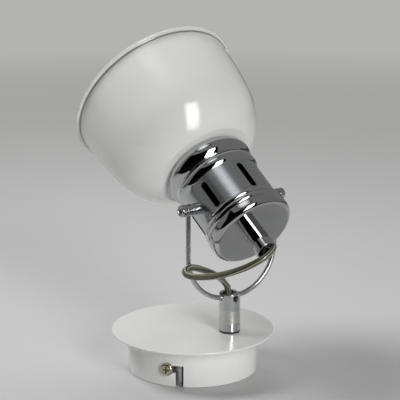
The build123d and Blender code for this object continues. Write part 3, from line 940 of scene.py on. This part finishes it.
bend_centre = (YOKE_HALF - YOKE_BEND, YOKE_FLOOR + YOKE_BEND)
right_half = [(YOKE_HALF, WIRE_END)] + arc(bend_centre, YOKE_BEND, 0, -90, 28)
yoke_points = [on_yoke(-x, z) for x, z in right_half] + [on_yoke(x, z) for x, z in right_half[::-1]]
yoke_mesh = tube_along(yoke_points, WIRE_RADIUS * MM, 32, wire_chrome)
yoke = piece_of(yoke_mesh, "yoke", canopy_place, wire_chrome)
publish(yoke, "swivel", "chrome", "yoke_wire")

# %% [markdown]
# ### Swivel post
#
# The post is turned, then milled: a notch across its mouth for the yoke wire and a threaded hole
# for the grub screw that clamps it. The same carving makes hexagon sockets and cross recesses.

# %% Post
GRUB_RADIUS = 2.0
post_outside = [(6.5, 26.2, 0.15), (6.5, 50.0, 0.5), (4.2, 50.0, 0.25)]
post_outline = rounded(post_outside + [(4.2, 35.2), (5.0, 35.2), (5.0, 26.2)])
notch_top = [(WIRE_RADIUS, 52.0), (-WIRE_RADIUS, 52.0)]
notch_outline = arc((0, YOKE_FLOOR), WIRE_RADIUS, 180, 360, 20) + notch_top
across_post = stand(Vector(), x_dir, y_dir)
notch = prism(notch_outline, -8, 8, across_post)
grub_place = stand(up_dir * (YOKE_FLOOR * MM), y_dir, x_dir)
grub_hole = prism(arc((0, 0), GRUB_RADIUS, 0, 360, 40)[:-1], -8, -1, grub_place)
post = turned("post", post_outline, post_place, post_chrome, 144, [notch, grub_hole])
true_round(post.data, post_place, (6.5, 4.2, 5.0), (26.4, 49.4))
publish(post, "swivel", "chrome", "swivel_post")

# %% Grub screw and foot washer
THREAD_STEP = 0.1
SCREW_PITCH = 0.7


def bar_outline(radius, low, high, rounding):
    """Outline of a plain round bar with softened ends."""
    return rounded([(0, low), (radius, low, rounding), (radius, high, rounding), (0, high)], closed=False)


def thread_outline(radius, low, high):
    """Outline of a bar with enough points along it to carry a thread."""
    count = ceil((high - low) / THREAD_STEP)
    side = [(radius, low + (high - low) * step / count) for step in range(count + 1)]
    return [(0, low)] + side + [(0, high)]


def socket(flats, low, high):
    """Cutter for a hexagon socket, as wide across its flats as the key."""
    return prism(arc((0, 0), flats / 2 / cos(pi / 6), 0, 360, 6)[:-1], low, high)


grub_axis = stand(post_foot + up_dir * (YOKE_FLOOR * MM), -facing_dir, tilt_dir)
grub_line = thread_outline(1.92, 1.5, 5.7)
grub_key = socket(2.0, 3.9, 7.0)
grub = turned("grub", grub_line, grub_axis, thread_dark, 48, [grub_key], pitch=SCREW_PITCH, depth=0.12)
publish(grub, "swivel", "zinc_steel", "grub_screw")

washer_outline = rounded([(5.05, 25.0), (6.3, 25.0, 0.3), (6.3, 26.2, 0.3), (5.05, 26.2)])
washer = turned("swivel_washer", washer_outline, post_place, black_nylon, 96)
publish(washer, "swivel", "black_plastic", "foot_washer")

# %% [markdown]
# ### Pivots
#
# Each side has a spacer on the body, the bush at the wire's end and the screw's round head, all
# turned to one diameter. A fine groove shows where they meet.

# %% Pivots
KNOB = 3.6


def knob_parts(name, side):
    outward = stand(pivot, tilt_dir * side, up_dir)
    spacer = turned(f"spacer_{name}", bar_outline(KNOB, 24.4, 30.25, 0.25), outward, knob_chrome, 64)
    publish(spacer, "head", "chrome", f"pivot_spacer_{name}")
    bush = turned(f"bush_{name}", bar_outline(KNOB, 30.3, 34.7, 0.3), outward, knob_chrome, 64)
    publish(bush, "swivel", "chrome", f"eye_bush_{name}")
    head_side = [(0, 34.75), (KNOB, 34.75, 0.25), (KNOB, 38.45, 0.8)]
    head_end = [(2.3, 38.45, 0.2), (2.1, 37.85, 0.2), (0, 37.85)]
    head_outline = rounded(head_side + head_end, closed=False)
    key = socket(3.0, 35.9, 39.0)
    screw = turned(f"screw_{name}", head_outline, outward, knob_chrome, 64, [key])
    publish(screw, "head", "chrome", f"pivot_screw_{name}")


knob_parts("left", -1)
knob_parts("right", 1)

# %% [markdown]
# ### Canopy
#
# The cup and the disc are pressed sheet. Two slots in the cup's rim are shaped like an L: the
# cup slides down over the side screws, turns a little, and the screws are tightened.

# %% Cup
CUP_RADIUS = 40.0
SCREW_AZIMUTH = radians(-94.9)
SLOT_TURN = radians(10.6)
SCREW_HEIGHT = 11.0
BRANCH = 4.6
SLOT = 5.0

cup_outside = [(0, 23.8), (CUP_RADIUS, 23.8, 1.5), (CUP_RADIUS, 0, 0.25)]
cup_inside = [(39.0, 0, 0.25), (39.0, 22.8, 0.6), (0, 22.8)]
cup_outline = rounded(cup_outside + cup_inside, closed=False)
left = CUP_RADIUS * sin(SLOT_TURN) - SLOT / 2
right = left + SLOT
slot_outline = [(left, -1), (right, -1), (right, SCREW_HEIGHT + BRANCH / 2)]
slot_outline += arc((0, SCREW_HEIGHT), BRANCH / 2, 90, 270, 16)
slot_outline += [(left, SCREW_HEIGHT - BRANCH / 2)]
cutters = []
for azimuth in (SCREW_AZIMUTH, SCREW_AZIMUTH + pi):
    outward = Vector((cos(azimuth), sin(azimuth), 0))
    cutters.append(prism(slot_outline, 30, 45, stand(Vector(), outward, up_dir.cross(outward))))
cup = turned("cup", cup_outline, canopy_place, canopy_lacquer, 256, cutters)
true_round(cup.data, canopy_place, (CUP_RADIUS, 39.0), (0.3, 22.1))
publish(cup, "canopy", "canopy_lacquer", "canopy_cup")

# %% Disc and its stud
disc = turned("disc", bar_outline(50.0, 23.8, 25.0, 0.5), canopy_place, canopy_lacquer, 256)
publish(disc, "canopy", "canopy_lacquer", "canopy_disc")

stud_place = Matrix.Translation((-22 * MM, 0, 0))
stud_outline = thread_outline(1.9, 15.8, 23.9)
stud = turned("disc_stud", stud_outline, stud_place, zinc, 48, pitch=SCREW_PITCH, depth=0.1)
publish(stud, "canopy", "zinc_steel", "canopy_disc")

# %% Side screws
pan_outline = rounded([(0, 0), (4.0, 0, 0.15), (4.0, 2.6, 1.5), (0, 2.6)], closed=False)
pan_mesh = turn_mesh(pan_outline, nickel, 64)
arm = 2.2
half = 0.5
cross = [(arm, -half), (arm, half), (half, half), (half, arm), (-half, arm), (-half, half)]
cross += [(-x, -y) for x, y in cross]
recess = prism(cross, 1.1, 2.9, taper=0.72)
pan_mesh = carve(pan_mesh, recess)
shank_mesh = turn_mesh(thread_outline(1.9, -8, 0.1), nickel, 48, pitch=SCREW_PITCH, depth=0.1)
screw_build = bmesh.new()
screw_build.from_mesh(pan_mesh)
screw_build.from_mesh(shank_mesh)
on_wall = stand(Vector((CUP_RADIUS, 0, SCREW_HEIGHT)) * MM, x_dir, up_dir)
bmesh.ops.transform(screw_build, matrix=on_wall, verts=screw_build.verts)
screw_mesh = bpy.data.meshes.new("side_screw")
screw_build.to_mesh(screw_mesh)
screw_build.free()
both = around.run(linked("host", screw_mesh), "side_screws", Count=2, First=SCREW_AZIMUTH, Finish=nickel)
side_screws = piece_of(both, "side_screws", canopy_place, nickel)
publish(side_screws, "canopy", "nickel_screw", "side_screw_1", "side_screw_2")

# %% [markdown]
# ### Inside the shade
#
# Looking into the shade one sees the notched ring that clamps it, the holder's shell and the
# threaded sleeve for the lamp.

# %% Ring, holder and sleeve
ring_outline = rounded([(24.6, 33.4), (29.0, 33.4), (29.0, 36.9, 0.6), (24.6, 36.9, 0.4)])
one_grip = prism(stadium(3.0, 2.0), 30, 40, Matrix.Translation((29.6 * MM, 0, 0)))
grips = around.run(one_grip, "grips", Count=24, First=0.0, Finish=phenolic)
ring = turned("clamp_ring", ring_outline, head_place, phenolic, 160, [grips])
publish(ring, "head", "holder_plastic", "shade_ring")

shell_side = [(12.5, -21.0), (14.0, -21.0), (14.0, 3.0, 0.4), (13.4, 3.6, 0.3), (13.4, 19.0, 0.3)]
shell_end = [(14.0, 19.6, 0.4), (14.0, 22.0, 1.0), (7.6, 22.0, 0.6), (7.6, -6.0), (12.5, -6.0)]
shell = turned("holder", rounded(shell_side + shell_end), head_place, phenolic)
publish(shell, "head", "holder_plastic", "holder_shell")

SLEEVE_LENGTH = 20.0
LAMP_PITCH = 2.82
inner_wall = [(7.25, SLEEVE_LENGTH * step / 160) for step in range(161)]
sleeve_outline = [(7.6, SLEEVE_LENGTH), (7.6, 0.0)] + inner_wall + [(7.6, SLEEVE_LENGTH)]
sleeve = turned("lamp_sleeve", sleeve_outline, head_place, brass, 96, pitch=LAMP_PITCH, depth=0.28)
publish(sleeve, "head", "brass", "thread_sleeve")

# %% [markdown]
# ### Finishes of the construction that stays
#
# Brackets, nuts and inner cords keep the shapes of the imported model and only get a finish.

# %% Finishes for the other nodes
node_finish = {
    zinc: ["wall_bracket", "stud_nut", "inner_washer", "lock_nut", "threaded_nipple", "tube_nut"],
    brass: ["earth_screw", "centre_contact"],
    nickel: ["terminal_screws", "pivot_nut_left", "pivot_nut_right"],
    phenolic: ["holder_base", "terminal_block"],
    steatite: ["contact_carrier"],
    black_nylon: ["cord_grip"],
    core_skin: ["holder_leads", "core_1", "core_2"],
    inner_sheath: ["inner_flex"],
}
for finish, names in node_finish.items():
    for name in names:
        node = frame["nodes"][name]
        node.data.materials.clear()
        node.data.materials.append(finish)
        print(name, "takes", finish.name)

# %% [markdown]
# ## The flex cord
#
# The cord leaves the tube at the rear of the lamp, bends down in a tight fold, passes in front of
# the yoke in a flat loop and drops into the post. Its line is a smooth spline whose control
# points keep close to the route of the construction.

# %% Cord line
ROUTE = [
    (47.7, -14.9, 88.9), (52.6, -16.4, 86.9), (57.2, -19.4, 87.6), (56.4, -25.2, 84.6),
    (51.8, -30.2, 81.3), (43.0, -32.7, 76.3), (30.5, -35.1, 71.7), (18.2, -37.5, 69.7),
    (8.8, -38.6, 69.9), (5.4, -33.9, 71.8), (8.3, -28.6, 73.1), (17.2, -22.9, 69.2),
    (21.7, -13.2, 62.9), (21.8, -2.5, 56.0), (22.5, 1.0, 52.4), (22.5, 1.0, 48.7),
]
CORD_DIAMETER = 4.0 * MM

line = bpy.data.curves.new("cord_line", "CURVE")
line.dimensions = "3D"
line.resolution_u = 14
spline = line.splines.new("NURBS")
spline.points.add(len(ROUTE) - 1)
for point, (x, y, z) in zip(spline.points, ROUTE):
    point.co = (x * MM, y * MM, z * MM, 1)
spline.order_u = 3
spline.use_endpoint_u = True
line_mesh = settle(linked("cord_line", line), "cord_points")
cord_path = [tuple(vertex.co) for vertex in line_mesh.vertices]

# %% [markdown]
# The sheath is clear olive plastic over two cores that twist slowly round each other. The tree
# stored where each point lies round the tube and how far along, so the cores are bands of the
# angle that turn once in every 220 mm: two thin cream lines with a dark line between them where a
# core lies under the skin, and the darker olive of the thick sheath beside them.

# %% Cord finish
CORE_LAY = 0.22
WHOLE_TURNS = 8.0  # keeps the share positive


def sheath(name):
    finish = Finish(name, IOR=1.48, Coat_Weight=0.6, Coat_Roughness=0.08)
    around_tube = finish.node("ShaderNodeAttribute", {"attribute_name": "around"}, output="Vector")
    travel = finish.node("ShaderNodeAttribute", {"attribute_name": "travel"}, output="Fac")
    across = finish.node("ShaderNodeSeparateXYZ", None, {0: around_tube}, 0)
    beside = across.output(1)
    angle = finish.node("ShaderNodeMath", {"operation": "ARCTAN2"}, {0: beside, 1: across})
    wander = finish.noise(140, 2) * 0.5
    share = (angle + travel * (tau / CORE_LAY) + wander) / tau + WHOLE_TURNS
    olive_dark = rgb(0.15, 0.15, 0.10)[:3]
    olive = rgb(0.39, 0.39, 0.31)[:3]
    cream = rgb(0.74, 0.73, 0.64)[:3]
    seam = rgb(0.07, 0.07, 0.05)[:3]
    grey = rgb(0.45, 0.44, 0.37)[:3]
    stops = [
        (0.00, olive), (0.12, olive), (0.15, cream), (0.20, cream), (0.23, seam), (0.29, seam),
        (0.32, cream), (0.37, grey), (0.46, olive_dark), (0.62, olive), (0.66, cream), (0.70, grey),
        (0.76, seam), (0.80, cream), (0.84, olive_dark), (1.00, olive),
    ]
    bands = finish.node("ShaderNodeValToRGB", {"stops": stops}, {0: share.math("FRACT")})
    cloud = finish.mottle(260, 3, 0, 0.35)
    color = finish.blend(cloud, bands, rgb(0.27, 0.27, 0.21))
    roughness = finish.mottle(500, 2, 0.22, 0.34)
    return finish.coat(color, roughness, finish.noise(380, 2), 2e-5)


cord_sheath = sheath("cord_sheath")
cord_radius = CORD_DIAMETER / 2 - 0.01 * MM  # a hair thinner, to stay within the model's box
cord_mesh = tube_along(cord_path, cord_radius, 40, cord_sheath)
cord = piece_of(cord_mesh, "cord", canopy_place, cord_sheath)
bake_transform(cord)
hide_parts("flex_cord")
print("cord laid")

# %% [markdown]
# ## Stage
#
# A pale seamless floor, a tall softbox at the front right that also shows as the highlight on
# shade and beads, a key light from the left and behind, a broad one behind and a faint one at
# the right. Most of what chrome shows is the dark half of the room behind the camera, so a dark
# front and a dark screen stand there for reflections alone. A round reflector that fades to its
# edge gives the beads their soft upper gleam. Azimuths are counted from the camera's side, to
# the right positive.

# %% Stage helpers
LIGHT_SPREAD = radians(75)
VIEW_AZIMUTH = radians(17.2)
LIGHT_AIM = Vector((0, 0, 0.08))


def around_light(azimuth, distance, height):
    """Point at an azimuth in degrees, a distance out and a height."""
    turn = VIEW_AZIMUTH + radians(azimuth) - pi / 2
    return Vector((distance * cos(turn), distance * sin(turn), height))


def aloft(azimuth, elevation, distance):
    """Point in the air at an azimuth and an elevation in degrees."""
    rise = radians(elevation)
    return around_light(azimuth, distance * cos(rise), distance * sin(rise))


def area_light(name, azimuth, elevation, distance, size, power, mirrored):
    data = bpy.data.lights.new(name, "AREA")
    data.shape = "RECTANGLE"
    data.size, data.size_y = size
    data.energy = power
    data.spread = LIGHT_SPREAD
    light = linked(name, data)
    light.location = aloft(azimuth, elevation, distance)
    light.rotation_euler = (LIGHT_AIM - light.location).to_track_quat("-Z", "Y").to_euler()
    light.visible_glossy = mirrored


def panel(name, finish, points, faces=((0, 1, 2, 3),), unseen=()):
    """A flat or curved sheet of the stage, unseen by the kinds of ray that are named."""
    made = host_of(points, (), faces)
    made.name = name
    made.data.materials.append(finish.material)
    for ray in unseen:
        setattr(made, f"visible_{ray}", False)


def glow(name, azimuth, elevation, distance, core, reach, color, strength):
    """A round reflector that mirrors see: bright to the core radius, gone at its reach."""
    centre = aloft(azimuth, elevation, distance)
    finish = Finish(name, Roughness=1.0, Emission_Strength=strength)
    fade = finish.remap(finish.vector("DISTANCE", finish.place, tuple(centre)), core, reach, 1, 0)
    finish.vary(Base_Color=BLACK, Emission_Color=finish.blend(fade, BLACK, color))
    turn = centre.to_track_quat("Z", "Y")
    square = [Vector((x * reach, y * reach, 0)) for x, y in ((-1, -1), (1, -1), (1, 1), (-1, 1))]
    panel(name, finish, [centre + turn @ corner for corner in square], unseen=("camera", "diffuse", "shadow"))


print("stage helpers ready")

# %% [markdown]
# The far floor fades into the pale surround, so the picture has no horizon. Only the camera sees
# that fade. The front of the floor is pale for the camera and dark in reflections: two strips
# lie there, one a little below the other.

# %% Floor
FLOOR_EDGE = 0.23
FLOOR_HALF = 4
FLOOR_LEVEL = -0.0002
DARK_LEVEL = -0.001
SKY = rgb(0.94, 0.94, 0.93)
SEEN_STRENGTH = 0.5
FADE_FROM = 0.4
FADE_TO = 1.1

paper = Finish("floor_paper", Roughness=0.85, Emission_Strength=SEEN_STRENGTH)
grey = paper.blend(paper.noise(6, 3), rgb(0.79), rgb(0.80))
far = paper.remap(paper.vector("DISTANCE", paper.place), FADE_FROM, FADE_TO, 0, 1)
seen_far = far * paper.node("ShaderNodeLightPath", output="Is Camera Ray")
seen_color = paper.blend(seen_far, grey, BLACK)
paper.vary(Base_Color=seen_color, Emission_Color=paper.blend(seen_far, BLACK, SKY))

cloth = Finish("dark_cloth", Roughness=0.95)
cloth.vary(Base_Color=cloth.blend(cloth.noise(3, 2), rgb(0.05), rgb(0.08, 0.07, 0.07)))


def strip(near, far, level):
    """Corners of a strip of floor square to the view, between two distances towards the camera."""
    toward = around_light(0, 1, 0)
    beside = around_light(90, FLOOR_HALF, 0)
    corners = [toward * near - beside, toward * near + beside, toward * far + beside, toward * far - beside]
    return [(corner.x, corner.y, level) for corner in corners]


panel("floor", paper, strip(FLOOR_EDGE, -FLOOR_HALF, FLOOR_LEVEL))
panel("front_floor", paper, strip(FLOOR_HALF, FLOOR_EDGE, FLOOR_LEVEL), unseen=("glossy",))
panel("dark_front", cloth, strip(FLOOR_HALF, FLOOR_EDGE, DARK_LEVEL), unseen=("camera", "diffuse"))
print("floor laid, its front edge", FLOOR_EDGE, "m before the light")

# %% Dark screen
SCREEN_STEPS = 12
SCREEN_DISTANCE = 2.6
SCREEN_HEIGHTS = (-0.2, 2.6)
SCREEN_FROM, SCREEN_TO = -74, 48

field = (SCREEN_TO - SCREEN_FROM) / SCREEN_STEPS
azimuths = [SCREEN_FROM + field * step for step in range(SCREEN_STEPS + 1)]
screen_points = [around_light(a, SCREEN_DISTANCE, height) for height in SCREEN_HEIGHTS for a in azimuths]
row = SCREEN_STEPS + 1
screen_faces = [(i, i + 1, i + 1 + row, i + row) for i in range(SCREEN_STEPS)]
panel("dark_screen", cloth, screen_points, screen_faces, unseen=("camera", "diffuse"))
print("dark screen of", len(screen_faces), "faces")

# %% Lights
# name, azimuth and elevation in degrees, distance, size in metres, power, shown in reflections
LIGHTS = [
    ("softbox", 29, 22, 1.6, (0.5, 1.2), 3.25, True),
    ("key_left", -115, 50, 1.6, (0.7, 0.7), 3.1, False),
    ("behind", 175, 45, 1.8, (1.4, 0.9), 2.25, False),
    ("right_behind", 110, 30, 1.8, (1.0, 0.9), 0.25, False),
]
for light in LIGHTS:
    area_light(*light)

glow("upper_glow", -61, 75, 1.5, 0.16, 0.42, (0.94, 0.97, 1, 1), 1.5)
print("lights set:", [light[0] for light in LIGHTS])

# %% [markdown]
# The surround is one pale colour with three strengths: faint as a light on matt surfaces,
# stronger in reflections, and as bright as the far floor where the camera sees it.

# %% Surround
MATT_STRENGTH = 0.05
MIRRORED_STRENGTH = 0.27

world = bpy.data.worlds.new("surround")
world.use_nodes = True
background = world.node_tree.nodes["Background"]
background.inputs["Color"].default_value = SKY
surround = Tree(world.node_tree.nodes, world.node_tree.links)
mirror_ray = surround.node("ShaderNodeLightPath", output="Is Glossy Ray")
camera_ray = surround.node("ShaderNodeLightPath", output="Is Camera Ray")
more = mirror_ray * (MIRRORED_STRENGTH - MATT_STRENGTH) + camera_ray * (SEEN_STRENGTH - MATT_STRENGTH)
surround.feed(background.inputs["Strength"], more + MATT_STRENGTH)
bpy.context.scene.world = world
print("surround strengths:", MATT_STRENGTH, MIRRORED_STRENGTH, SEEN_STRENGTH)
